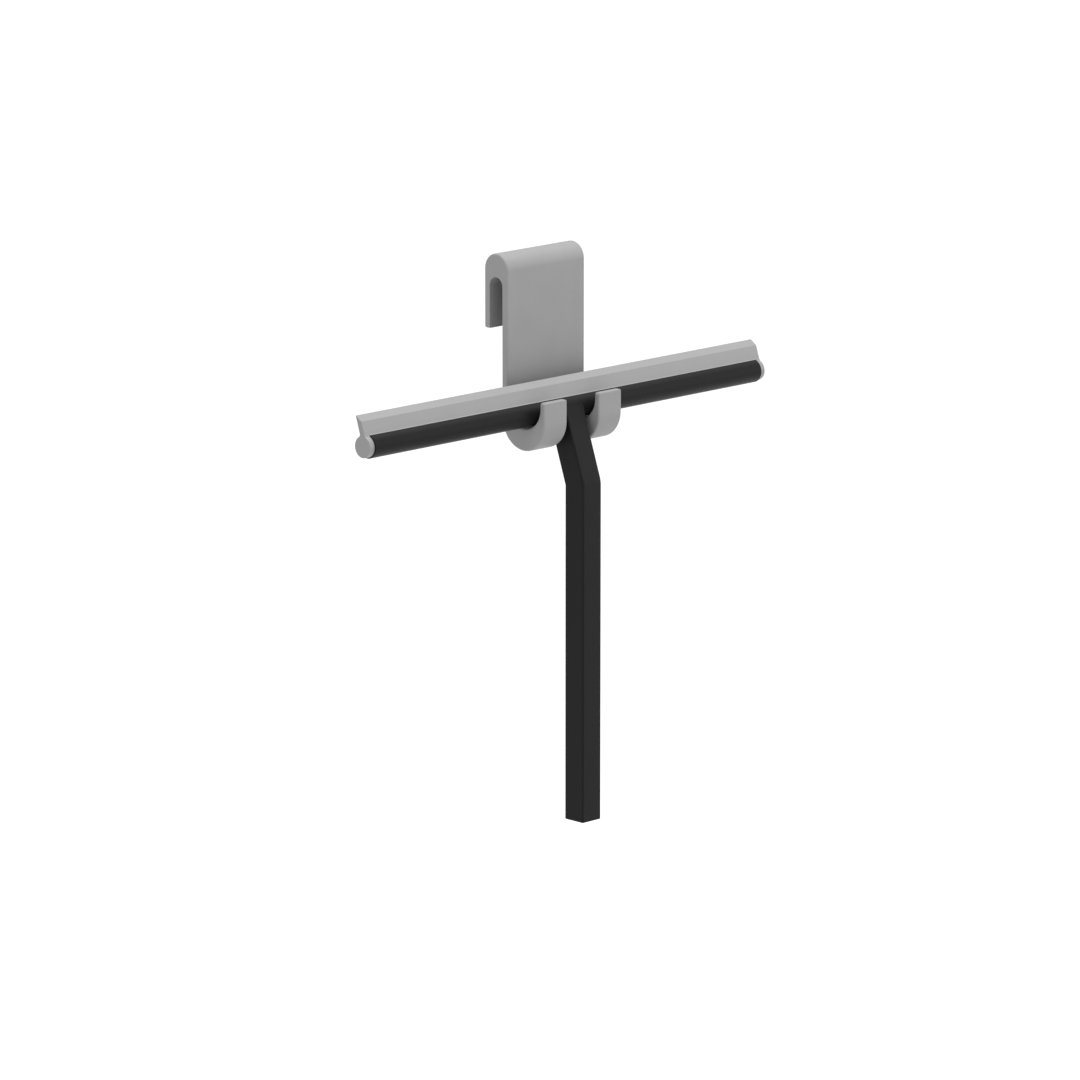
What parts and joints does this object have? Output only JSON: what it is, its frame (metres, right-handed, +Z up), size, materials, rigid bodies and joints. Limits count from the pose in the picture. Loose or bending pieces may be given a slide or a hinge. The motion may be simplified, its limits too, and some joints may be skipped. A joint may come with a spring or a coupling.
{
  "type": "shower squeegee with over-glass holder",
  "caption": "Shower and window squeegee: a bent square handle and a round head rod with a silicone blade, hanging in a soft hook that clips over a glass panel.",
  "frame": {"origin": "top edge of the glass panel, at the middle of the holder's width and of the slot's thickness", "axes": "+X along the blade, +Y through the glass to the dry side, +Z up"},
  "size_m": [0.25, 0.0441, 0.2596],
  "materials": {
    "holder_silicone": "matt moulded silicone",
    "blade_silicone": "satin moulded silicone",
    "black_coating": "fine matt powder coat",
    "spring_steel": "cold-rolled strip",
    "steel": "turned stainless steel",
    "black_plastic": "matt black moulded plastic"
  },
  "bodies": {
    "holder": {"holder_cover": "holder_silicone", "holder_core": "spring_steel"},
    "squeegee": {"head_rod": "black_coating", "wiper_blade": "blade_silicone", "handle": "black_coating", "handle_insert": "steel", "head_screw": "steel", "handle_end_plug": "black_plastic"}
  },
  "joints": [
    {"name": "squeegee_lift", "type": "slide", "parent": "holder", "child": "squeegee", "axis": [0, 0, 1], "range_m": [0, 0.2]}
  ]
}
